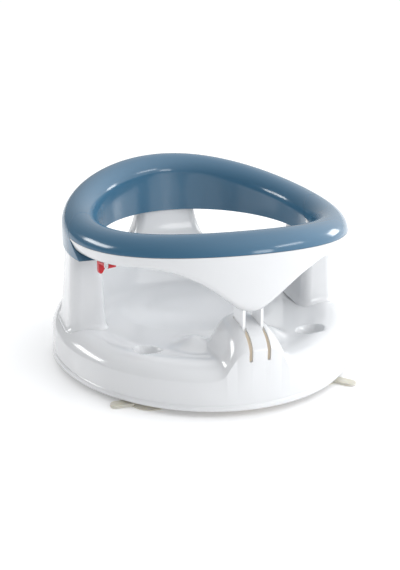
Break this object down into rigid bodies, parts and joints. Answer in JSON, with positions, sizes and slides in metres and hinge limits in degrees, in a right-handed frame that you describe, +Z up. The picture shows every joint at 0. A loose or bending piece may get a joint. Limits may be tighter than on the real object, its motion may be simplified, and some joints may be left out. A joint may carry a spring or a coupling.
{
  "type": "baby bath seat",
  "caption": "Baby bath seat: moulded base with a seat hollow and seat back, a ring on posts, a front bar that swings down, and suction cups.",
  "frame": {"origin": "centre of the seat's box at the level of the suction cups' lips", "axes": "+X to the right as seen from the front, +Y from the front bar to the backrest, +Z up"},
  "size_m": [0.34, 0.359, 0.2045],
  "materials": {
    "white_plastic": "glossy moulded",
    "blue_plastic": "glossy moulded",
    "red_plastic": "glossy moulded",
    "beige_plastic": "moulded",
    "cup_rubber": "translucent, soft",
    "steel": "satin"
  },
  "bodies": {
    "base": {"base_shell": "white_plastic", "left_post": "white_plastic", "right_post": "white_plastic", "rear_post": "white_plastic", "ring_shell": "blue_plastic", "hinge_pin": "steel", "hinge_block": "beige_plastic", "hinge_screws": "steel", "post_screws": "steel", "ring_screws": "steel"},
    "bar": {"bar_cap": "blue_plastic", "bar_body": "white_plastic", "bar_stem": "white_plastic", "lever_pin": "steel", "lever_spring": "steel", "bar_screws": "steel", "stem_screws": "steel"},
    "lever": {"release_lever": "red_plastic"},
    "cup_front_left": {"front_left_cup": "cup_rubber"},
    "cup_front_right": {"front_right_cup": "cup_rubber"},
    "cup_rear_left": {"rear_left_cup": "cup_rubber"},
    "cup_rear_right": {"rear_right_cup": "cup_rubber"}
  },
  "joints": [
    {"name": "bar_tilt", "type": "hinge", "parent": "base", "child": "bar", "pos_m": [0, -0.1515, 0.063], "axis": [1, 0, 0], "range_deg": [0, 85]},
    {"name": "lever_squeeze", "type": "hinge", "parent": "bar", "child": "lever", "pos_m": [-0.12197, -0.07054, 0.1364], "axis": [0.9396, 0.3423, 0], "range_deg": [0, 7], "stiffness_Nm_per_rad": 0.02, "springref_deg": -20.05, "deforming": ["lever_spring"]},
    {"name": "front_left_swivel", "type": "hinge", "parent": "base", "child": "cup_front_left", "pos_m": [-0.095, -0.1155, 0.02], "axis": [0, 0, 1], "continuous": true},
    {"name": "front_right_swivel", "type": "hinge", "parent": "base", "child": "cup_front_right", "pos_m": [0.095, -0.1155, 0.02], "axis": [0, 0, 1], "continuous": true},
    {"name": "rear_left_swivel", "type": "hinge", "parent": "base", "child": "cup_rear_left", "pos_m": [-0.092, 0.112, 0.02], "axis": [0, 0, 1], "continuous": true},
    {"name": "rear_right_swivel", "type": "hinge", "parent": "base", "child": "cup_rear_right", "pos_m": [0.092, 0.112, 0.02], "axis": [0, 0, 1], "continuous": true}
  ]
}
